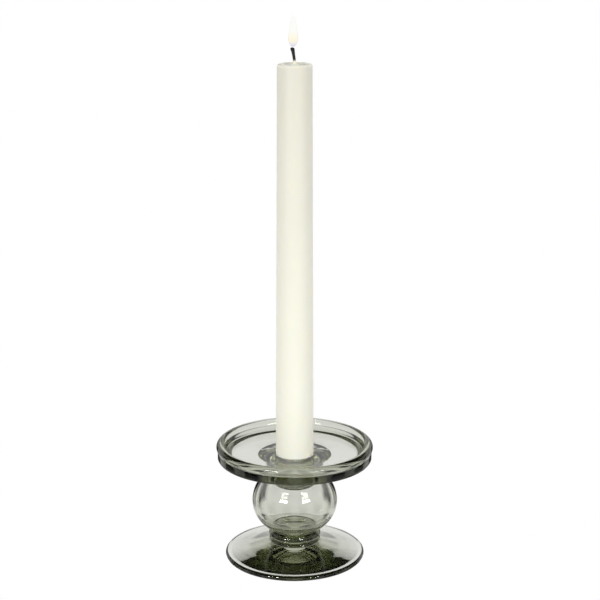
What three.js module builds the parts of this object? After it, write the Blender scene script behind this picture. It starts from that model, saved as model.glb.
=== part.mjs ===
// A candlestick of smoked glass with a lit dinner candle.
// Five glass pieces are stacked on one axis: a flared foot, a stem ring, a hollow ball, a candle
// socket with its neck, and a drip tray. They touch on level faces, where the real ones are fused
// while hot. The candle stands in the socket and lifts out, taking its wick and flame with it.
//
// Millimetres, +Z up. The origin is the middle of the foot's underside.

import * as THREE from 'three';

// ---- Driving dimensions -------------------------------------------------------------------

const SIDES = 40; // facets round each turned glass piece

const FOOT_RADIUS = 40.7;
const FOOT_EDGE = 3.0; // thickness of the foot at its rim
const FOOT_HEIGHT = 8.8; // where the foot meets the stem ring
const PONTIL_RADIUS = 7.0; // shallow ground hollow under the foot
const PONTIL_DEPTH = 0.6;

const JOIN_RADIUS = 13.3; // the glass where foot, ring and ball meet
const RING_RADIUS = 15.1;
const RING_LOWER_RADIUS = 14.9; // the ring has two beads with a groove between them
const RING_LOWER_HEIGHT = 10.2;
const RING_GROOVE_RADIUS = 14.0;
const RING_GROOVE_HEIGHT = 11.7;
const RING_UPPER_HEIGHT = 13.6; // height of its widest line
const RING_TOP = 16.4;

const BALL_RADIUS = 24.8;
const BALL_CENTRE = 33.7;
const BALL_DROP = 20.6; // half-height of the ball below its middle
const BALL_RISE = 22.5; // half-height of the ball above its middle
const BALL_WALL = 3.0;
const BALL_FLOOR = 17.9; // lowest point of the hollow
const MOUTH_HEIGHT = 49.6; // level rim of the ball's mouth
const MOUTH_RADIUS = 14.7;

const SOCKET_BORE = 11.5;
const SOCKET_FLOOR = 45.5; // the candle stands here
const SOCKET_BOTTOM = 42.6;
const SOCKET_CORNER = 6.4; // rounding of the cup's lower edge
const NECK_RADIUS = 17.0; // narrowest line of the neck

const TRAY_RADIUS = 44.8;
const TRAY_UNDERSIDE = 59.9;
const TRAY_FLOOR = 63.3;
const TRAY_CORNER = 1.2;
const NECK_FLARE = 21.4; // the neck where it meets the tray
const LIP_CENTRE_RADIUS = 43.0;
const LIP_CENTRE_HEIGHT = 67.35;
const LIP_ROUND = 2.5;
const WALL_SLOPE = 65; // degrees between the inside of the tray's wall and its floor
const WALL_FILLET = 4.0;

const CANDLE_FOOT_RADIUS = 11.05;
const CANDLE_TOP_RADIUS = 9.75;
const CANDLE_TOP = 288.9;
const CANDLE_SHOULDER = 1.3; // rounding of the candle's upper edge
const MELT_DEPTH = 1.3; // dish burnt into the candle's top
const WICK_HOLE = 1.35;
const WICK_RADIUS = 1.0;
const WICK_BASE = 50.0; // bottom of the hole that holds the wick
const WICK_TIP = 297.9;
const WICK_LEAN = new THREE.Vector2(-1.4, -0.6); // how far the burnt tip leans over

const FLAME_BASE = 298.3;
const FLAME_TIP = 315.3;
const FLAME_RADIUS = 2.9;
const GAP = 0.3; // clearance between parts that do not touch on a level face

const glassFinish = { color: 0x8f9a86, roughness: 0.05, metalness: 0, transparent: true, opacity: 0.45 };
const waxFinish = { color: 0xf7f5e6, roughness: 0.45, metalness: 0 };
const wickFinish = { color: 0x1c1815, roughness: 0.95, metalness: 0 };
const flameFinish = { color: 0xfff3c4, emissive: 0xffe9a0, roughness: 1, metalness: 0 };

// ---- Shared geometry helpers --------------------------------------------------------------

// A point of a turned profile: radius and height.
function at(radius, height) {
  return new THREE.Vector2(radius, height);
}

// Points of an elliptical arc in the profile plane. Angles are in degrees, 0 pointing outwards
// and 90 pointing up.
function arc(centre, radiusAcross, radiusUp, fromDeg, toDeg, steps) {
  const points = [];
  for (let i = 0; i <= steps; i += 1) {
    const angle = THREE.MathUtils.degToRad(fromDeg + ((toDeg - fromDeg) * i) / steps);
    const across = centre.x + radiusAcross * Math.cos(angle);
    const up = centre.y + radiusUp * Math.sin(angle);
    points.push(at(across, up));
  }
  return points;
}

// Points of a smooth curve through the given profile points.
function smooth(points, steps) {
  return new THREE.SplineCurve(points).getPoints(steps);
}

// Angle, in degrees, at which an ellipse of the given half-axes reaches a height above its centre.
function angleAtHeight(halfHeight, height) {
  return THREE.MathUtils.radToDeg(Math.asin(height / halfHeight));
}

// Turns a profile about the Z axis.
function turned(profile, sides) {
  const geometry = new THREE.LatheGeometry(profile, sides);
  geometry.rotateX(Math.PI / 2);
  return geometry;
}

function piece(name, geometry, finish) {
  const mesh = new THREE.Mesh(geometry, new THREE.MeshStandardMaterial(finish));
  mesh.name = name;
  return mesh;
}

// ---- Foot: a broad disc that rises all the way to a low mound under the stem -------------

function foot() {
  const edge = FOOT_EDGE / 2;
  const underside = [at(0, PONTIL_DEPTH), at(PONTIL_RADIUS * 0.6, PONTIL_DEPTH * 0.7), at(PONTIL_RADIUS, 0)];
  const rim = arc(at(FOOT_RADIUS - edge, edge), edge, edge, -90, 90, 6);
  const slope = smooth(
    [
      at(FOOT_RADIUS - edge, FOOT_EDGE),
      at(37.6, 2.98),
      at(33, 3.85),
      at(26.4, 5.3),
      at(20, 7.0),
      at(15.3, 8.2),
      at(JOIN_RADIUS, FOOT_HEIGHT),
    ],
    12
  );
  return piece('foot', turned([...underside, ...rim, ...slope.slice(1), at(0, FOOT_HEIGHT)], SIDES), glassFinish);
}

// ---- Stem ring: a collar of solid glass pinched into two beads --------------------------

function stemRing() {
  const groove = at(RING_GROOVE_RADIUS, RING_GROOVE_HEIGHT);
  const lower = smooth([at(JOIN_RADIUS, FOOT_HEIGHT), at(RING_LOWER_RADIUS, RING_LOWER_HEIGHT), groove], 6);
  const upper = smooth([groove, at(RING_RADIUS, RING_UPPER_HEIGHT), at(JOIN_RADIUS, RING_TOP)], 8);
  const profile = [at(0, FOOT_HEIGHT), ...lower, ...upper.slice(1), at(0, RING_TOP)];
  return piece('stem_ring', turned(profile, SIDES), glassFinish);
}

// ---- Ball: a blown bubble, a little flattened, with its mouth upwards --------------------

function ball() {
  const middle = at(0, BALL_CENTRE);
  const lowest = -angleAtHeight(BALL_DROP, BALL_CENTRE - RING_TOP);
  const highest = angleAtHeight(BALL_RISE, MOUTH_HEIGHT - BALL_CENTRE);
  const outsideLow = arc(middle, BALL_RADIUS, BALL_DROP, lowest, 0, 6);
  const outsideHigh = arc(middle, BALL_RADIUS, BALL_RISE, 0, highest, 6);

  const hollow = BALL_RADIUS - BALL_WALL;
  const mouthAngle = THREE.MathUtils.radToDeg(Math.acos(MOUTH_RADIUS / hollow));
  const hollowRise = (MOUTH_HEIGHT - BALL_CENTRE) / Math.sin(THREE.MathUtils.degToRad(mouthAngle));
  const insideHigh = arc(middle, hollow, hollowRise, mouthAngle, 0, 5);
  const insideLow = arc(middle, hollow, BALL_CENTRE - BALL_FLOOR, 0, -90, 7);
  insideLow[insideLow.length - 1] = at(0, BALL_FLOOR);

  const profile = [
    at(0, RING_TOP),
    ...outsideLow,
    ...outsideHigh.slice(1),
    ...insideHigh,
    ...insideLow.slice(1),
  ];
  return piece('ball', turned(profile, SIDES), glassFinish);
}

// ---- Candle socket: a cup that hangs in the ball's mouth, with the neck round it ---------

function candleSocket() {
  const cornerCentre = at(MOUTH_RADIUS - GAP - SOCKET_CORNER, SOCKET_BOTTOM + SOCKET_CORNER);
  const cup = arc(cornerCentre, SOCKET_CORNER, SOCKET_CORNER, -90, 0, 5);
  const neck = smooth(
    [at(17.5, MOUTH_HEIGHT), at(NECK_RADIUS, 52.0), at(17.7, 55.4), at(19.6, 58.2), at(NECK_FLARE, TRAY_UNDERSIDE)],
    8
  );
  const profile = [
    at(0, SOCKET_BOTTOM),
    ...cup,
    at(MOUTH_RADIUS - GAP, MOUTH_HEIGHT),
    ...neck,
    at(SOCKET_BORE, TRAY_UNDERSIDE),
    at(SOCKET_BORE, SOCKET_FLOOR),
    at(0, SOCKET_FLOOR),
  ];
  return piece('candle_socket', turned(profile, SIDES), glassFinish);
}

// ---- Drip tray: a thick level floor with an upright wall and a rolled lip ----------------

function dripTray() {
  const corner = arc(at(TRAY_RADIUS - TRAY_CORNER, TRAY_UNDERSIDE + TRAY_CORNER), TRAY_CORNER, TRAY_CORNER, -90, 0, 3);
  const lip = arc(at(LIP_CENTRE_RADIUS, LIP_CENTRE_HEIGHT), LIP_ROUND, LIP_ROUND, -40, 90 + WALL_SLOPE, 10);
  const slope = THREE.MathUtils.degToRad(WALL_SLOPE);
  const wallTop = lip[lip.length - 1];
  const floorRadius = wallTop.x - (wallTop.y - TRAY_FLOOR) / Math.tan(slope);
  const filletRadius = floorRadius - WALL_FILLET * Math.tan(slope / 2);
  const fillet = arc(at(filletRadius, TRAY_FLOOR + WALL_FILLET), WALL_FILLET, WALL_FILLET, WALL_SLOPE - 90, -90, 4);
  const profile = [
    at(SOCKET_BORE, TRAY_UNDERSIDE),
    ...corner,
    at(TRAY_RADIUS, 64.8),
    ...lip,
    ...fillet,
    at(SOCKET_BORE, TRAY_FLOOR),
    at(SOCKET_BORE, TRAY_UNDERSIDE),
  ];
  return piece('drip_tray', turned(profile, SIDES), glassFinish);
}

// ---- Candle: a dinner candle that tapers a little, with a blind hole for the wick --------

function candle() {
  const shoulderCentre = at(CANDLE_TOP_RADIUS - CANDLE_SHOULDER, CANDLE_TOP - CANDLE_SHOULDER);
  const shoulder = arc(shoulderCentre, CANDLE_SHOULDER, CANDLE_SHOULDER, 0, 90, 4);
  const meltFloor = CANDLE_TOP - MELT_DEPTH;
  const profile = [
    at(0, SOCKET_FLOOR),
    at(CANDLE_FOOT_RADIUS, SOCKET_FLOOR),
    ...shoulder,
    at(6.6, CANDLE_TOP - 0.7),
    at(3.6, meltFloor),
    at(WICK_HOLE, meltFloor),
    at(WICK_HOLE, WICK_BASE),
    at(0, WICK_BASE),
  ];
  return piece('candle', turned(profile, 32), waxFinish);
}

// ---- Wick: a cotton cord down the candle's middle, its burnt end leaning over ------------

function wick() {
  const bend = CANDLE_TOP - MELT_DEPTH + 0.5; // the cord is straight up to here
  const length = WICK_TIP - bend;
  const profile = [
    at(0, WICK_BASE + GAP),
    at(WICK_RADIUS, WICK_BASE + GAP),
    at(WICK_RADIUS, bend),
    at(WICK_RADIUS * 0.95, bend + length * 0.3),
    at(WICK_RADIUS * 1.05, bend + length * 0.6),
    at(WICK_RADIUS * 1.2, bend + length * 0.85),
    at(WICK_RADIUS * 0.7, WICK_TIP),
    at(0, WICK_TIP),
  ];
  const geometry = turned(profile, 10);
  const position = geometry.getAttribute('position');
  for (let i = 0; i < position.count; i += 1) {
    const along = Math.max(0, (position.getZ(i) - bend) / length);
    const lean = along ** 1.6;
    position.setX(i, position.getX(i) + WICK_LEAN.x * lean);
    position.setY(i, position.getY(i) + WICK_LEAN.y * lean);
  }
  return piece('wick', geometry, wickFinish);
}

// ---- Flame: the space the flame fills, a drop shape above the wick's tip -----------------

function flame() {
  const height = FLAME_TIP - FLAME_BASE;
  const outline = smooth(
    [
      at(FLAME_RADIUS * 0.35, FLAME_BASE),
      at(FLAME_RADIUS * 0.88, FLAME_BASE + height * 0.11),
      at(FLAME_RADIUS, FLAME_BASE + height * 0.24),
      at(FLAME_RADIUS * 0.78, FLAME_BASE + height * 0.5),
      at(FLAME_RADIUS * 0.42, FLAME_BASE + height * 0.8),
      at(0, FLAME_TIP),
    ],
    9
  );
  const mesh = piece('flame', turned([at(0, FLAME_BASE), ...outline], 12), flameFinish);
  mesh.position.set(WICK_LEAN.x * 0.7, WICK_LEAN.y * 0.7, 0);
  return mesh;
}

// ---- The whole candlestick ----------------------------------------------------------------

const holder = new THREE.Group();
holder.add(foot(), stemRing(), ball(), candleSocket(), dripTray());

const litCandle = new THREE.Group();
litCandle.add(candle(), wick(), flame());

const candlestick = new THREE.Group();
candlestick.add(holder, litCandle);

export default candlestick;
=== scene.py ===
import bpy
import numpy as np
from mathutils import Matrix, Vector


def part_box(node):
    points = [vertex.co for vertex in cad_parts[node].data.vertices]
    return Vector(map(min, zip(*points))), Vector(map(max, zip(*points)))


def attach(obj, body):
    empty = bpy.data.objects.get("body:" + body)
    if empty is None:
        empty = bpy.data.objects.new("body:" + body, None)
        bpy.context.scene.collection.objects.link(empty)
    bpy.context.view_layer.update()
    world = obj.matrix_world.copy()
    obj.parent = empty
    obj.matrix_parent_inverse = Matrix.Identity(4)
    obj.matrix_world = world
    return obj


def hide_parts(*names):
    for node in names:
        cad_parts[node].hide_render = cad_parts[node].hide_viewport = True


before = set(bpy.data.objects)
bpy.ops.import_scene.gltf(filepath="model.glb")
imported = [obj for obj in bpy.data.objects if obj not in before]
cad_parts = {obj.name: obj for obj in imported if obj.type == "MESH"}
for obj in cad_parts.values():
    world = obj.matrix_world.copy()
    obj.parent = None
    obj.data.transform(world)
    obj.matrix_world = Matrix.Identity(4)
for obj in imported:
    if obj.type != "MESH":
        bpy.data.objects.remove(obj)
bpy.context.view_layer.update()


# ---- Foot ---------------------------------------------------------------------------------
# The foot is a gather of smoked glass spun out into a thin disc, with a low mound left in the
# middle where the stem grows out of it. It stands on a ring round a shallow ground hollow.

MM = 0.001
SHARP_ANGLE = np.radians(40)
LEVEL_TOLERANCE = 0.05 * MM
SMOKE_COLOUR = (0.36, 0.40, 0.17, 1)
GLASS_INDEX = 1.5


def arc(centre, across, up, start, end, steps):
    """Points of an elliptical arc in the (radius, height) plane: the centre plus the half-axes
    times the cosine and sine of an angle that runs evenly from start to end, in degrees."""
    angle = np.radians(np.linspace(start, end, steps))
    return np.stack([centre[0] + across * np.cos(angle), centre[1] + up * np.sin(angle)], axis=1)


def flowing(points, steps):
    """A smooth curve through the points: between two of them it is the cubic that leaves and
    arrives in line with the points on either side (a Catmull-Rom curve)."""
    p = np.asarray(points, float)
    p = np.vstack([2 * p[0] - p[1], p, 2 * p[-1] - p[-2]])
    t = np.linspace(0, len(p) - 3, steps)
    i = np.minimum(t.astype(int), len(p) - 4)
    u = (t - i)[:, None]
    a, b, c, d = p[i], p[i + 1], p[i + 2], p[i + 3]
    bend = 2 * a - 5 * b + 4 * c - d
    twist = 3 * b - a - 3 * c + d
    return 0.5 * (2 * b + (c - a) * u + bend * u**2 + twist * u**3)


def hand_turned(x, y, z):
    """The slight unevenness of glass shaped by hand: the radius swells and shrinks by a few
    parts in a thousand, as a sum of sines of the bearing that drifts with height. Level faces
    at the same height and radius move alike, so fused pieces still meet."""
    bearing = np.arctan2(y, x)
    swell = 0.0022 * np.sin(2 * bearing + 0.7 + 30 * z) + 0.0014 * np.sin(3 * bearing + 2.1 - 55 * z)
    return x * (1 + swell), y * (1 + swell), z


def turned(name, profile, sides, looped=False, shape=None):
    """Carries a profile of (radius, height) points round the Z axis. An open profile starts and
    ends on the axis, where a fan of triangles closes it. A looped one closes on itself."""
    profile = np.asarray(profile, float)
    rings = profile if looped else profile[1:-1]
    turn = np.linspace(0, 2 * np.pi, sides, endpoint=False)
    x = (rings[:, :1] * np.cos(turn)).ravel()
    y = (rings[:, :1] * np.sin(turn)).ravel()
    z = np.repeat(rings[:, 1], sides)
    if not looped:
        x, y, z = np.append(x, [0, 0]), np.append(y, [0, 0]), np.append(z, profile[[0, -1], 1])
    if shape:
        x, y, z = shape(x, y, z)
    points = np.stack([x, y, z], axis=1)
    index = np.arange(len(rings) * sides).reshape(len(rings), sides)
    low, high = (index, np.roll(index, -1, axis=0)) if looped else (index[:-1], index[1:])
    quads = np.stack([low, np.roll(low, -1, 1), np.roll(high, -1, 1), high], axis=-1)
    faces = quads.reshape(-1, 4).tolist()
    if not looped:
        first, last = len(points) - 2, len(points) - 1
        faces += np.stack([np.full(sides, first), np.roll(index[0], -1), index[0]], axis=1).tolist()
        faces += np.stack([np.full(sides, last), index[-1], np.roll(index[-1], -1)], axis=1).tolist()
    mesh = bpy.data.meshes.new(name)
    mesh.from_pydata(points.tolist(), [], faces)
    mesh.shade_smooth()
    mesh.set_sharp_from_angle(angle=SHARP_ANGLE)
    piece = bpy.data.objects.new(name, mesh)
    bpy.context.collection.objects.link(piece)
    return piece


def mark_fused(piece, *joints):
    """Marks the level faces that are fused to the next piece. Each joint is (height, inner radius,
    outer radius): a face counts if all of it lies at that height and between those radii."""
    mesh = piece.data
    centre = np.empty(len(mesh.polygons) * 3)
    normal = np.empty(len(mesh.polygons) * 3)
    mesh.polygons.foreach_get("center", centre)
    mesh.polygons.foreach_get("normal", normal)
    centre, normal = centre.reshape(-1, 3), normal.reshape(-1, 3)
    radius = np.hypot(centre[:, 0], centre[:, 1])
    fused = np.zeros(len(centre), bool)
    for height, inner, outer in joints:
        level = (abs(centre[:, 2] - height) < LEVEL_TOLERANCE) & (abs(normal[:, 2]) > 0.99)
        fused |= level & (radius > inner) & (radius < outer)
    mesh.attributes.new("fused", "FLOAT", "FACE").data.foreach_set("value", fused.astype(np.float32))


def smoked_glass(name, smoke_density, ripple, ripple_size):
    """Clear glass with an even grey-green smoke all through it. Its surface has a faint ripple
    left by the tools. Fused faces bend no light, so the pieces read as one body of glass."""
    material = bpy.data.materials.new(name)
    material.use_nodes = True
    nodes, links = material.node_tree.nodes, material.node_tree.links
    shader = nodes["Principled BSDF"]
    shader.inputs["Base Color"].default_value = (1, 1, 1, 1)
    shader.inputs["Transmission Weight"].default_value = 1
    shader.inputs["Roughness"].default_value = 0
    place = nodes.new("ShaderNodeTexCoord")
    wave = nodes.new("ShaderNodeTexNoise")
    wave.inputs["Scale"].default_value = 1 / ripple_size
    wave.inputs["Detail"].default_value = 1.5
    links.new(place.outputs["Object"], wave.inputs["Vector"])
    bump = nodes.new("ShaderNodeBump")
    bump.inputs["Strength"].default_value = 1
    bump.inputs["Distance"].default_value = ripple
    links.new(wave.outputs["Fac"], bump.inputs["Height"])
    links.new(bump.outputs["Normal"], shader.inputs["Normal"])
    seam = nodes.new("ShaderNodeAttribute")
    seam.attribute_name = "fused"
    index = nodes.new("ShaderNodeMapRange")
    index.inputs["To Min"].default_value = GLASS_INDEX
    index.inputs["To Max"].default_value = 1.0
    links.new(seam.outputs["Fac"], index.inputs["Value"])
    links.new(index.outputs["Result"], shader.inputs["IOR"])
    smoke = nodes.new("ShaderNodeVolumeAbsorption")
    smoke.inputs["Color"].default_value = SMOKE_COLOUR
    smoke.inputs["Density"].default_value = smoke_density
    links.new(smoke.outputs["Volume"], nodes["Material Output"].inputs["Volume"])
    return material


SIDES = 192
JOIN_GAP = 0.01 * MM
foot_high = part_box("foot")[1]
foot_radius = foot_high[0]
foot_height = foot_high[2]
JOIN_RADIUS = 13.3 * MM
EDGE = 1.5 * MM
underside = flowing([(0, 0.6 * MM), (4 * MM, 0.45 * MM), (7 * MM, 0)], 24)
rim = arc((foot_radius - EDGE, EDGE), EDGE, EDGE, -90, 90, 24)
slope = flowing(
    [
        (foot_radius - EDGE, 2 * EDGE), (37.6 * MM, 2.98 * MM), (36 * MM, 3.25 * MM),
        (33 * MM, 3.85 * MM), (30 * MM, 4.5 * MM), (26.4 * MM, 5.3 * MM), (23 * MM, 6.2 * MM),
        (20 * MM, 7.0 * MM), (17.5 * MM, 7.65 * MM), (15.3 * MM, 8.2 * MM),
        (JOIN_RADIUS, foot_height - JOIN_GAP),
    ],
    72,
)
outline = np.vstack([underside, rim, slope[1:], [(0, foot_height - JOIN_GAP)]])
foot = turned("foot_glass", outline, SIDES, shape=hand_turned)
mark_fused(foot, (foot_height, 0, JOIN_RADIUS))
foot_glass = smoked_glass(
    "foot_smoked_glass", smoke_density=80, ripple=0.03 * MM, ripple_size=9 * MM
)
foot.data.materials.append(foot_glass)
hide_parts("foot")
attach(foot, "glass")


# ---- Stem ring ----------------------------------------------------------------------------
# A collar of solid glass laid hot between the foot and the ball, and pinched into two rounded
# beads with a groove between them.

ring_low, ring_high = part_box("stem_ring")
ring_radius = ring_high[0]
low_z, top_z = ring_low[2] + JOIN_GAP, ring_high[2] - JOIN_GAP
GROOVE = (14.0 * MM, 11.7 * MM)
lower_bead = flowing(
    [
        (JOIN_RADIUS, low_z), (14.3 * MM, 9.15 * MM), (14.9 * MM, 10.2 * MM),
        (14.5 * MM, 11.2 * MM), GROOVE,
    ],
    28,
)
upper_bead = flowing(
    [
        GROOVE, (14.6 * MM, 12.1 * MM), (ring_radius, 13.6 * MM),
        (14.6 * MM, 15.1 * MM), (JOIN_RADIUS, top_z),
    ],
    36,
)
outline = np.vstack([[(0, low_z)], lower_bead, upper_bead[1:], [(0, top_z)]])
ring = turned("stem_ring_glass", outline, SIDES, shape=hand_turned)
mark_fused(ring, (low_z, 0, JOIN_RADIUS), (top_z, 0, JOIN_RADIUS))
ring_glass = smoked_glass(
    "ring_smoked_glass", smoke_density=60, ripple=0.008 * MM, ripple_size=8 * MM
)
ring.data.materials.append(ring_glass)
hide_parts("stem_ring")
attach(ring, "glass")


# ---- Ball ---------------------------------------------------------------------------------
# A hollow ball of the same smoked glass, blown and set hot on the ring, where its wall runs out
# thin. Its mouth is open at the top, where the candle socket is let into it and fused.

ball_low, ball_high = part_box("ball")
ball_radius = ball_high[0]
BALL_CENTRE = 33.7 * MM
BALL_DROP = 20.6 * MM
BALL_RISE = 22.5 * MM
BALL_WALL = 3.0 * MM
BALL_FLOOR = 17.5 * MM
MOUTH_RADIUS = 14.7 * MM
NECK_REACH = 18 * MM
FULLNESS_OUT = 0.86
FULLNESS_DOWN = 0.93
low_z, mouth_z = ball_low[2] + JOIN_GAP, ball_high[2] - JOIN_GAP
lowest = -np.degrees(np.arcsin((BALL_CENTRE - low_z) / BALL_DROP))
highest = np.degrees(np.arcsin((mouth_z - BALL_CENTRE) / BALL_RISE))
hollow = ball_radius - BALL_WALL
mouth_angle = np.degrees(np.arccos(MOUTH_RADIUS / hollow))
hollow_rise = (mouth_z - BALL_CENTRE) / np.sin(np.radians(mouth_angle))
middle = (0, BALL_CENTRE)
quarter = np.linspace(0, np.pi / 2, 48)
bottom_radius = hollow * np.cos(quarter) ** FULLNESS_OUT
bottom_height = BALL_CENTRE - (BALL_CENTRE - BALL_FLOOR) * np.sin(quarter) ** FULLNESS_DOWN
hollow_bottom = np.stack([bottom_radius, bottom_height], axis=1)
outline = np.vstack([
    [(0, low_z)],
    arc(middle, ball_radius, BALL_DROP, lowest, 0, 48),
    arc(middle, ball_radius, BALL_RISE, 0, highest, 48)[1:],
    arc(middle, hollow, hollow_rise, mouth_angle, 0, 48),
    hollow_bottom[1:],
])
ball = turned("ball_glass", outline, SIDES, shape=hand_turned)
mark_fused(ball, (low_z, 0, JOIN_RADIUS + 1 * MM), (mouth_z, MOUTH_RADIUS, NECK_REACH))
ball_glass = smoked_glass(
    "ball_smoked_glass", smoke_density=80, ripple=0.006 * MM, ripple_size=12 * MM
)
ball.data.materials.append(ball_glass)
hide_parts("ball")
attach(ball, "glass")


# ---- Candle socket ------------------------------------------------------------------------
# A straight cup of thick smoked glass that holds the candle's foot. Its closed end hangs inside
# the ball, and its flared neck joins the ball's mouth to the underside of the tray.

socket_low, socket_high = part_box("candle_socket")
SOCKET_BORE = 11.5 * MM
SOCKET_CORNER = 6.4 * MM
socket_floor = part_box("candle")[0][2]
flare = socket_high[0]
cup_radius = MOUTH_RADIUS - 0.3 * MM
low_z, top_z = mouth_z + 2 * JOIN_GAP, socket_high[2] - JOIN_GAP
corner_centre = (cup_radius - SOCKET_CORNER, socket_low[2] + SOCKET_CORNER)
cup = arc(corner_centre, SOCKET_CORNER, SOCKET_CORNER, -90, 0, 24)
neck = flowing(
    [
        (17.5 * MM, low_z), (17 * MM, 52 * MM), (17.7 * MM, 55.4 * MM),
        (19.6 * MM, 58.2 * MM), (flare, top_z),
    ],
    40,
)
outline = np.vstack([
    [(0, socket_low[2])],
    cup,
    [(cup_radius, low_z), (MOUTH_RADIUS, low_z)],
    neck,
    [(SOCKET_BORE, top_z), (SOCKET_BORE, socket_floor), (0, socket_floor)],
])
socket = turned("candle_socket_glass", outline, SIDES, shape=hand_turned)
mark_fused(socket, (low_z, MOUTH_RADIUS, NECK_REACH), (top_z, SOCKET_BORE, flare))
socket_glass = smoked_glass(
    "socket_smoked_glass", smoke_density=45, ripple=0.02 * MM, ripple_size=8 * MM
)
socket.data.materials.append(socket_glass)
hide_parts("candle_socket")
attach(socket, "glass")


# ---- Drip tray ----------------------------------------------------------------------------
# A shallow round dish of smoked glass that catches the wax. Its wall was turned up while hot and
# its lip rolled over into a fat round bead. The candle passes through the hole in its floor.

tray_low, tray_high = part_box("drip_tray")
LIP_ROUND = 2.5 * MM
lip_centre = (tray_high[0] - LIP_ROUND, tray_high[2] - LIP_ROUND)
wall = tray_high[0] - 0.7 * MM
CORNER = 1.2 * MM
TRAY_FLOOR = 63.3 * MM
WALL_SLOPE = 65
FILLET = 4.0 * MM
TRAY_SIDES = 256
HOLE_ROUND = 0.5 * MM
low_z = tray_low[2] + JOIN_GAP
lip = arc(lip_centre, LIP_ROUND, LIP_ROUND, -30, 90 + WALL_SLOPE, 48)
floor_radius = lip[-1, 0] - (lip[-1, 1] - TRAY_FLOOR) / np.tan(np.radians(WALL_SLOPE))
fillet_centre = (floor_radius - FILLET * np.tan(np.radians(WALL_SLOPE / 2)), TRAY_FLOOR + FILLET)
outline = np.vstack([
    [(SOCKET_BORE, low_z), (flare, low_z)],
    arc((wall - CORNER, low_z + CORNER), CORNER, CORNER, -90, 0, 12),
    flowing([(wall, 62 * MM), (wall, 64.2 * MM), (wall - 0.1 * MM, 64.9 * MM), lip[0]], 16),
    lip[1:],
    arc(fillet_centre, FILLET, FILLET, WALL_SLOPE - 90, -90, 24),
    arc((SOCKET_BORE + HOLE_ROUND, TRAY_FLOOR - HOLE_ROUND), HOLE_ROUND, HOLE_ROUND, 90, 180, 8),
])
tray = turned("drip_tray_glass", outline, TRAY_SIDES, looped=True, shape=hand_turned)
mark_fused(tray, (low_z, SOCKET_BORE, flare))
tray_glass = smoked_glass(
    "tray_smoked_glass", smoke_density=75, ripple=0.015 * MM, ripple_size=14 * MM
)
tray.data.materials.append(tray_glass)
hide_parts("drip_tray")
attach(tray, "glass")


# ---- Candle -------------------------------------------------------------------------------
# A cast dinner candle of ivory wax, drawn from its mould with a slight taper. Heat has rounded
# its upper edge and burnt a shallow dish into the top. Its foot stands in the socket.

candle_low, candle_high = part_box("candle")
CANDLE_FOOT_RADIUS = 11.05 * MM
CANDLE_TOP_RADIUS = 9.75 * MM
SHOULDER = 1.3 * MM
WICK_HOLE = 1.35 * MM
candle_top = candle_high[2]
HOLE_FLOOR = 50 * MM
FOOT_BEVEL = 0.5 * MM


def drawn_from_mould(x, y, z):
    """The candle's small unevenness: the radius swells by at most a part in a hundred and fifty,
    as slow sines of the height and of the bearing, and always inwards from the full size."""
    bearing = np.arctan2(y, x)
    swell = 0.0020 * np.sin(2 * bearing + 26 * z) + 0.0016 * np.sin(3 * bearing - 47 * z + 1.0)
    scale = 1 - 0.0036 + swell + 0.0008 * np.sin(210 * z)
    return x * scale, y * scale, z


flank_radius = np.linspace(CANDLE_FOOT_RADIUS, CANDLE_TOP_RADIUS, 90)
flank_height = np.linspace(candle_low[2] + FOOT_BEVEL, candle_top - SHOULDER, 90)
dish = flowing(
    [
        (CANDLE_TOP_RADIUS - SHOULDER, candle_top), (7.7 * MM, candle_top - 0.12 * MM),
        (6.6 * MM, candle_top - 0.62 * MM), (5.2 * MM, candle_top - 1.1 * MM),
        (3.6 * MM, candle_top - 1.28 * MM), (WICK_HOLE, candle_top - 1.3 * MM),
    ],
    32,
)
outline = np.vstack([
    [(0, candle_low[2] + JOIN_GAP), (CANDLE_FOOT_RADIUS - FOOT_BEVEL, candle_low[2] + JOIN_GAP)],
    np.stack([flank_radius, flank_height], axis=1),
    arc((CANDLE_TOP_RADIUS - SHOULDER, candle_top - SHOULDER), SHOULDER, SHOULDER, 0, 90, 16)[1:],
    dish[1:],
    [(WICK_HOLE, candle_top - 4 * MM), (WICK_HOLE, HOLE_FLOOR), (0, HOLE_FLOOR)],
])
candle = turned("dinner_candle", outline, 128, shape=drawn_from_mould)


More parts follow.
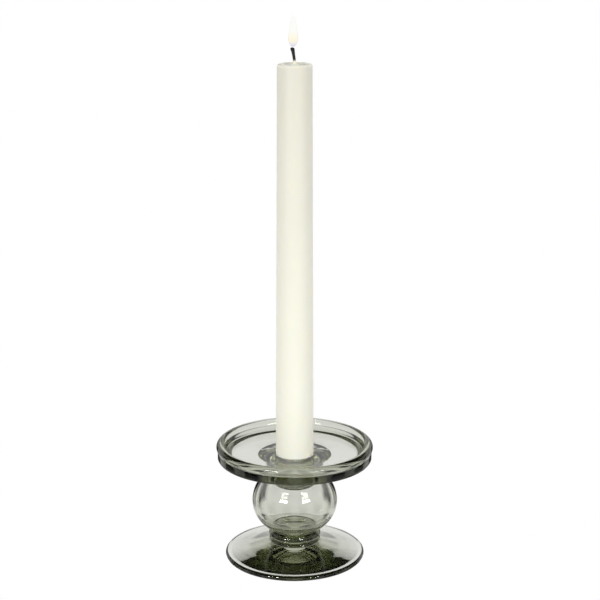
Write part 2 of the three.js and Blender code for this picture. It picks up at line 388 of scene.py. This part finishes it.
def ivory_wax(name, roughness, shade_tones):
    """Ivory wax: a translucent body with cloudy patches and faint bands down its length, a soft
    satin surface with a fine pitted bump, and painted shade: the colour runs slowly with the height
    from the first tone low down to the second higher up, painting the candle darker towards its top."""
    material = bpy.data.materials.new(name)
    material.use_nodes = True
    nodes, links = material.node_tree.nodes, material.node_tree.links
    shader = nodes["Principled BSDF"]
    shader.inputs["Roughness"].default_value = roughness
    shader.inputs["IOR"].default_value = 1.44
    shader.inputs["Subsurface Weight"].default_value = 0.35
    shader.inputs["Subsurface Radius"].default_value = (1, 0.8, 0.5)
    shader.inputs["Subsurface Scale"].default_value = 2 * MM
    place = nodes.new("ShaderNodeTexCoord")
    axes = nodes.new("ShaderNodeSeparateXYZ")
    links.new(place.outputs["Object"], axes.inputs[0])
    # Painted shade: the share of the height from 60 to 290 mm blends the two tones, so the wax is
    # painted darker towards the candle's top.
    shade_share = nodes.new("ShaderNodeMapRange")
    shade_share.inputs["From Min"].default_value = 60 * MM
    shade_share.inputs["From Max"].default_value = 290 * MM
    links.new(axes.outputs["Z"], shade_share.inputs["Value"])
    painted_height_shade = nodes.new("ShaderNodeMix")
    painted_height_shade.data_type = "RGBA"
    painted_height_shade.inputs[6].default_value = (*shade_tones[0], 1)
    painted_height_shade.inputs[7].default_value = (*shade_tones[1], 1)
    links.new(shade_share.outputs["Result"], painted_height_shade.inputs["Factor"])
    stretch = nodes.new("ShaderNodeMapping")
    stretch.inputs["Scale"].default_value = (1, 1, 0.25)
    links.new(place.outputs["Object"], stretch.inputs["Vector"])
    cloud = nodes.new("ShaderNodeTexNoise")
    cloud.inputs["Scale"].default_value = 160
    cloud.inputs["Detail"].default_value = 4
    links.new(stretch.outputs["Vector"], cloud.inputs["Vector"])
    shade = nodes.new("ShaderNodeMapRange")
    shade.inputs["To Min"].default_value = 0.975
    shade.inputs["To Max"].default_value = 1.015
    links.new(cloud.outputs["Fac"], shade.inputs["Value"])
    clouded = nodes.new("ShaderNodeMix")
    clouded.data_type = "RGBA"
    clouded.blend_type = "MULTIPLY"
    clouded.inputs["Factor"].default_value = 1
    links.new(painted_height_shade.outputs[2], clouded.inputs[6])
    links.new(shade.outputs["Result"], clouded.inputs[7])
    links.new(clouded.outputs[2], shader.inputs["Base Color"])
    pits = nodes.new("ShaderNodeTexNoise")
    pits.inputs["Scale"].default_value = 900
    pits.inputs["Detail"].default_value = 3
    links.new(place.outputs["Object"], pits.inputs["Vector"])
    bump = nodes.new("ShaderNodeBump")
    bump.inputs["Strength"].default_value = 1
    bump.inputs["Distance"].default_value = 0.02 * MM
    links.new(pits.outputs["Fac"], bump.inputs["Height"])
    links.new(bump.outputs["Normal"], shader.inputs["Normal"])
    return material


# The wax tone at the candle's foot and the darker one at its top: the difference between them is
# painted shade.
SHADED_CANDLE_TONES = ((0.90, 0.893, 0.78), (0.655, 0.64, 0.55))
candle.data.materials.append(ivory_wax("candle_ivory_wax", roughness=0.38, shade_tones=SHADED_CANDLE_TONES))
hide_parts("candle")
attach(candle, "candle")


# ---- Melted wax ---------------------------------------------------------------------------
# A thin pool of melted wax lies in the dish. It is clear and glossy, and climbs the wick in a
# small mound.

POOL_GAP = 0.02 * MM
pool_top = flowing(
    [
        (1.15 * MM, candle_top + 0.25 * MM), (1.5 * MM, candle_top - 0.05 * MM),
        (2.3 * MM, candle_top - 0.42 * MM), (3.4 * MM, candle_top - 0.60 * MM),
        (5.0 * MM, candle_top - 0.66 * MM), (6.2 * MM, candle_top - 0.66 * MM),
        (6.45 * MM, candle_top - 0.62 * MM),
    ],
    48,
)
pool_bottom = flowing(
    [
        (5.2 * MM, candle_top - 1.1 * MM + POOL_GAP), (3.6 * MM, candle_top - 1.28 * MM + POOL_GAP),
        (1.15 * MM, candle_top - 1.28 * MM + POOL_GAP),
    ],
    16,
)


def puckered(x, y, z):
    """The pool as it sets at its edge: its surface rises and falls by a few hundredths of a
    millimetre, as sines of the bearing that grow with the distance from the wick."""
    bearing = np.arctan2(y, x)
    lift = np.sin(5 * bearing + 0.4) + 0.7 * np.sin(8 * bearing + 2.0)
    return x, y, z + 0.006 * np.hypot(x, y) * lift * (z > candle_top - 0.9 * MM)


outline = np.vstack([pool_bottom[::-1], pool_top[::-1]])
pool = turned("melted_wax", outline, 96, looped=True, shape=puckered)
MELTED_TONE = (0.80, 0.79, 0.68)
melted = ivory_wax("melted_ivory_wax", roughness=0.06, shade_tones=(MELTED_TONE, MELTED_TONE))
pool.data.materials.append(melted)
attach(pool, "candle")


# ---- Wick ---------------------------------------------------------------------------------
# A braided cotton cord runs down the middle of the candle. Above the wax it is burnt black, it
# leans over, and its tip has a fat crusted head. Its lowest bit is still soaked in pale wax.

wick_low, wick_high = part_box("wick")
BEND = candle_top - 0.8 * MM
LEAN = np.array([-1.4, -0.6]) * MM
CORD = 0.83 * MM
HEAD = 1.12 * MM


def braided(x, y, z):
    """A braid of three strands wound both ways: the radius swells with the sum of two sines of
    three times the bearing, one climbing and one falling with the height. Above the bend the
    cord leans over, by the 1.6th power of the share of the way to the tip."""
    bearing = np.arctan2(y, x)
    strands = np.sin(3 * bearing + 1900 * z) + np.sin(3 * bearing - 1900 * z)
    crust = np.sin(7 * bearing + 5200 * z) * np.clip((z - BEND) / (6 * MM), 0, 1)
    scale = 1 + 0.045 * strands + 0.05 * crust
    lean = np.clip((z - BEND) / (wick_high[2] - BEND), 0, 1) ** 1.6
    return x * scale + LEAN[0] * lean, y * scale + LEAN[1] * lean, z


length = wick_high[2] - BEND
outline = np.vstack([
    [(0, wick_low[2]), (CORD, wick_low[2])],
    np.stack([np.full(20, CORD), np.linspace(wick_low[2] + 1 * MM, BEND - 4 * MM, 20)], axis=1),
    flowing(
        [
            (CORD, BEND - 3 * MM), (CORD, BEND), (0.95 * CORD, BEND + 0.3 * length),
            (CORD, BEND + 0.6 * length), (0.85 * HEAD, BEND + 0.78 * length),
            (HEAD, BEND + 0.89 * length), (0.86 * HEAD, BEND + 0.96 * length),
            (0.4 * HEAD, wick_high[2] - 0.02 * MM),
        ],
        110,
    ),
    [(0, wick_high[2])],
])
wick = turned("braided_wick", outline, 64, shape=braided)
burnt = bpy.data.materials.new("burnt_cotton")
burnt.use_nodes = True
nodes, links = burnt.node_tree.nodes, burnt.node_tree.links
shader = nodes["Principled BSDF"]
place = nodes.new("ShaderNodeTexCoord")
axes = nodes.new("ShaderNodeSeparateXYZ")
links.new(place.outputs["Object"], axes.inputs[0])
grain = nodes.new("ShaderNodeTexNoise")
grain.inputs["Scale"].default_value = 1500
grain.inputs["Detail"].default_value = 3
links.new(place.outputs["Object"], grain.inputs["Vector"])
ragged = nodes.new("ShaderNodeMath")
ragged.operation = "MULTIPLY_ADD"
ragged.inputs[1].default_value = 1.6 * MM
links.new(grain.outputs["Fac"], ragged.inputs[0])
links.new(axes.outputs["Z"], ragged.inputs[2])
char = nodes.new("ShaderNodeMapRange")
char.inputs["From Min"].default_value = candle_top + 1.9 * MM
char.inputs["From Max"].default_value = candle_top + 3.2 * MM
links.new(ragged.outputs[0], char.inputs["Value"])
soot = nodes.new("ShaderNodeValToRGB")
soot.color_ramp.elements[0].color = (0.002, 0.002, 0.002, 1)
soot.color_ramp.elements[1].color = (0.018, 0.016, 0.015, 1)
links.new(grain.outputs["Fac"], soot.inputs["Fac"])
cord = nodes.new("ShaderNodeMix")
cord.data_type = "RGBA"
cord.inputs[6].default_value = (0.78, 0.74, 0.60, 1)
links.new(char.outputs["Result"], cord.inputs["Factor"])
links.new(soot.outputs["Color"], cord.inputs[7])
links.new(cord.outputs[2], shader.inputs["Base Color"])
dull = nodes.new("ShaderNodeMapRange")
dull.inputs["To Min"].default_value = 0.25
dull.inputs["To Max"].default_value = 0.9
links.new(char.outputs["Result"], dull.inputs["Value"])
links.new(dull.outputs["Result"], shader.inputs["Roughness"])
crumbs = nodes.new("ShaderNodeBump")
crumbs.inputs["Strength"].default_value = 1
crumbs.inputs["Distance"].default_value = 0.12 * MM
links.new(grain.outputs["Fac"], crumbs.inputs["Height"])
links.new(crumbs.outputs["Normal"], shader.inputs["Normal"])
wick.data.materials.append(burnt)
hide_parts("wick")
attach(wick, "candle")


# ---- Flame --------------------------------------------------------------------------------
# Burning gas. It is nearly white, with a creamy heart low down, a faint lilac foot where it
# leaves the wick, and a thin grey edge. It leans a little with the wick.

flame_low, flame_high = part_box("flame")
flame_base, flame_tip = flame_low[2], flame_high[2]
FLAME_AXIS = (-0.98 * MM, -0.42 * MM)


def drawn_up(x, y, z):
    """The flame is drawn upwards by its own draught: its axis stands over the wick's tip and
    sways by a fifth of a millimetre, as half a sine of the share of the height."""
    share = (z - flame_base) / (flame_tip - flame_base)
    return x + FLAME_AXIS[0] + 0.2 * MM * np.sin(np.pi * share), y + FLAME_AXIS[1], z


outline = flowing(
    [
        (0.55 * MM, flame_base), (1.6 * MM, flame_base + 0.9 * MM),
        (2.5 * MM, flame_base + 3.0 * MM), (2.62 * MM, flame_base + 5.6 * MM),
        (2.1 * MM, flame_base + 8.9 * MM), (1.55 * MM, flame_base + 12.5 * MM),
        (1.0 * MM, flame_base + 15.4 * MM), (0.15 * MM, flame_tip - 0.05 * MM),
    ],
    90,
)
outline = np.vstack([[(0, flame_base)], outline, [(0, flame_tip)]])
flame = turned("flame_body", outline, 64, shape=drawn_up)
glow = bpy.data.materials.new("flame_light")
glow.use_nodes = True
nodes, links = glow.node_tree.nodes, glow.node_tree.links
shader = nodes["Principled BSDF"]
shader.inputs["Base Color"].default_value = (0, 0, 0, 1)
shader.inputs["Specular IOR Level"].default_value = 0
shader.inputs["Roughness"].default_value = 1
shader.inputs["Emission Strength"].default_value = 1
place = nodes.new("ShaderNodeTexCoord")
axes = nodes.new("ShaderNodeSeparateXYZ")
links.new(place.outputs["Object"], axes.inputs[0])
share = nodes.new("ShaderNodeMapRange")
share.inputs["From Min"].default_value = flame_base
share.inputs["From Max"].default_value = flame_tip
links.new(axes.outputs["Z"], share.inputs["Value"])
heat = nodes.new("ShaderNodeValToRGB")
heat.color_ramp.elements[0].position = 0.03
heat.color_ramp.elements[0].color = (0.72, 0.70, 0.80, 1)
heat.color_ramp.elements[1].position = 0.50
heat.color_ramp.elements[1].color = (0.98, 0.975, 0.95, 1)
FLAME_TONES = (
    (0.10, (0.86, 0.83, 0.86, 1)),
    (0.17, (0.96, 0.91, 0.74, 1)),
    (0.34, (1.0, 0.96, 0.80, 1)),
)
for position, colour in FLAME_TONES:
    stop = heat.color_ramp.elements.new(position)
    stop.color = colour
links.new(share.outputs["Result"], heat.inputs["Fac"])
edge = nodes.new("ShaderNodeLayerWeight")
edge.inputs["Blend"].default_value = 0.5
outline_grey = nodes.new("ShaderNodeMapRange")
outline_grey.inputs["From Min"].default_value = 0.62
outline_grey.inputs["From Max"].default_value = 0.88
outline_grey.inputs["To Min"].default_value = 1.0
outline_grey.inputs["To Max"].default_value = 0.62
links.new(edge.outputs["Facing"], outline_grey.inputs["Value"])
rimmed = nodes.new("ShaderNodeMix")
rimmed.data_type = "RGBA"
rimmed.blend_type = "MULTIPLY"
rimmed.inputs["Factor"].default_value = 1
links.new(heat.outputs["Color"], rimmed.inputs[6])
links.new(outline_grey.outputs["Result"], rimmed.inputs[7])
links.new(rimmed.outputs[2], shader.inputs["Emission Color"])
flame.data.materials.append(glow)
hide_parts("flame")
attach(flame, "candle")


# ---- Studio -------------------------------------------------------------------------------
# A plain white set. What the glass and the wax see is a dim room with bright upright cards all
# round it, behind and beside the candlestick. Two softboxes in front give the twin highlights.

def only_for_glass(nodes, links, seen, around):
    """Shows one shader straight to the camera, and the other one to every other ray."""
    path = nodes.new("ShaderNodeLightPath")
    mix = nodes.new("ShaderNodeMixShader")
    links.new(path.outputs["Is Camera Ray"], mix.inputs["Fac"])
    links.new(around, mix.inputs[1])
    links.new(seen, mix.inputs[2])
    return mix.outputs[0]


FLOOR_RADIUS = 9
FLOOR_DROP = 0.3 * MM
FLOOR_SIDES = 96
turn = np.linspace(0, 2 * np.pi, FLOOR_SIDES, endpoint=False)
level = np.full(FLOOR_SIDES, -FLOOR_DROP)
corners = np.stack([FLOOR_RADIUS * np.cos(turn), FLOOR_RADIUS * np.sin(turn), level], axis=1)
floor_mesh = bpy.data.meshes.new("studio_floor")
floor_mesh.from_pydata(corners.tolist(), [], [list(range(FLOOR_SIDES))])
floor = bpy.data.objects.new("studio_floor", floor_mesh)
bpy.context.collection.objects.link(floor)
white = bpy.data.materials.new("white_floor")
white.use_nodes = True
nodes, links = white.node_tree.nodes, white.node_tree.links
nodes.clear()
output = nodes.new("ShaderNodeOutputMaterial")
seen = nodes.new("ShaderNodeEmission")
clear = nodes.new("ShaderNodeBsdfTransparent")
links.new(only_for_glass(nodes, links, seen.outputs[0], clear.outputs[0]), output.inputs["Surface"])
floor_mesh.materials.append(white)

world = bpy.data.worlds.new("studio_room")
bpy.context.scene.world = world
world.use_nodes = True
nodes, links = world.node_tree.nodes, world.node_tree.links
nodes.clear()
output = nodes.new("ShaderNodeOutputWorld")
seen = nodes.new("ShaderNodeBackground")
seen.inputs["Color"].default_value = (1, 1, 1, 1)
around = nodes.new("ShaderNodeBackground")
around.inputs["Color"].default_value = (1, 1, 1, 1)
direction = nodes.new("ShaderNodeTexCoord")
axes = nodes.new("ShaderNodeSeparateXYZ")
links.new(direction.outputs["Generated"], axes.inputs[0])
height = axes.outputs["Z"]


def stepped(value, start, end, low, high):
    """A smooth step of the value: low below start, high above end."""
    step = nodes.new("ShaderNodeMapRange")
    step.interpolation_type = "SMOOTHSTEP"
    step.inputs["From Min"].default_value = start
    step.inputs["From Max"].default_value = end
    step.inputs["To Min"].default_value = low
    step.inputs["To Max"].default_value = high
    links.new(value, step.inputs["Value"])
    return step.outputs["Result"]


def maths(operation, first, second):
    """One node of arithmetic. The second input may be a plain number."""
    node = nodes.new("ShaderNodeMath")
    node.operation = operation
    links.new(first, node.inputs[0])
    if isinstance(second, float):
        node.inputs[1].default_value = second
    else:
        links.new(second, node.inputs[1])
    return node.outputs[0]


CARDS = 8
CARD_HALF = np.radians(8)
CARD_SOFT = np.radians(6)
CARD_LIGHT = 0.85
GAP_LIGHT = 0.02
HAZE_LIGHT = 0.6
CEILING_LIGHT = 0.05
EDGE_LOW, EDGE_HIGH = 0.42, 0.50
HAZE_LOW, HAZE_HIGH = -0.06, 0.06
FAR_START, FAR_FULL, FAR_LOW, FAR_HIGH = -0.54, -0.48, -0.42, -0.34
NEAR_LOW, NEAR_HIGH = -0.80, -0.72
NEAR_LIGHT = 0.6
from_card = maths("PINGPONG", maths("ARCTAN2", axes.outputs["X"], axes.outputs["Y"]), np.pi / CARDS)
cards = stepped(from_card, CARD_HALF, CARD_HALF + CARD_SOFT, CARD_LIGHT, GAP_LIGHT)
lit = maths("MAXIMUM", cards, stepped(height, HAZE_LOW, HAZE_HIGH, 0, HAZE_LIGHT))
walls = maths("MULTIPLY", lit, stepped(height, EDGE_LOW, EDGE_HIGH, 1, 0))
ceiling = stepped(height, EDGE_LOW, EDGE_HIGH, 0, CEILING_LIGHT)
near_table = stepped(height, NEAR_LOW, NEAR_HIGH, NEAR_LIGHT, 0)
far_start = stepped(height, FAR_START, FAR_FULL, 0, 1)
far_end = stepped(height, FAR_LOW, FAR_HIGH, CARD_LIGHT, 0)
far_table = maths("MULTIPLY", far_start, far_end)
table = maths("MAXIMUM", near_table, far_table)
room = maths("MAXIMUM", maths("MAXIMUM", walls, table), ceiling)
links.new(room, around.inputs["Strength"])
links.new(only_for_glass(nodes, links, seen.outputs[0], around.outputs[0]), output.inputs["Surface"])

# Each softbox: bearing and rise in degrees, distance, height of its aim, width, height, watts, and
# whether the glass shows it.
SOFTBOXES = (
    (-32.5, 21.5, 1.25, 35 * MM, 0.46, 0.19, 7.0, True),
    (32.5, 21.5, 1.25, 35 * MM, 0.46, 0.19, 6.0, True),
    (125, 20, 1.4, 160 * MM, 0.8, 0.8, 8.0, False),
    (-125, 20, 1.4, 160 * MM, 0.8, 0.8, 8.0, False),
    (0, 86, 1.0, 200 * MM, 0.8, 0.8, 5.0, False),
)
for bearing, rise, away, aim, width, tall, energy, in_glass in SOFTBOXES:
    light = bpy.data.lights.new("softbox", "AREA")
    light.shape = "RECTANGLE"
    light.size, light.size_y = width, tall
    light.energy = energy
    box = bpy.data.objects.new("softbox", light)
    bpy.context.collection.objects.link(box)
    across, up = np.radians(bearing), np.radians(rise)
    out = Vector((np.sin(across) * np.cos(up), -np.cos(across) * np.cos(up), np.sin(up)))
    box.location = Vector((0, 0, aim)) + out * away
    box.rotation_euler = out.to_track_quat("Z", "Y").to_euler()
    box.visible_glossy = in_glass
    box.visible_transmission = in_glass


# ---- Camera -------------------------------------------------------------------------------
# A long lens set a little higher than the flame, tilted down by fifteen degrees.

LENS_LENGTH = 96
SENSOR_WIDTH = 36
FRAME_SHIFT = 0.0088333
CAMERA_PLACE = (0, -0.878, 0.391)
CAMERA_TILT = np.radians(15.03)
BOUNCES = 32
SIDE_BOUNCES = 16
lens = bpy.data.cameras.new("camera")
lens.sensor_width = SENSOR_WIDTH
lens.lens = LENS_LENGTH
lens.shift_x = FRAME_SHIFT
camera = bpy.data.objects.new("camera", lens)
bpy.context.collection.objects.link(camera)
camera.location = CAMERA_PLACE
camera.rotation_euler = (np.pi / 2 - CAMERA_TILT, 0, 0)
scene = bpy.context.scene
scene.camera = camera
scene.view_settings.view_transform = "Standard"
scene.cycles.max_bounces = BOUNCES
scene.cycles.transmission_bounces = BOUNCES
scene.cycles.glossy_bounces = SIDE_BOUNCES
scene.cycles.transparent_max_bounces = SIDE_BOUNCES
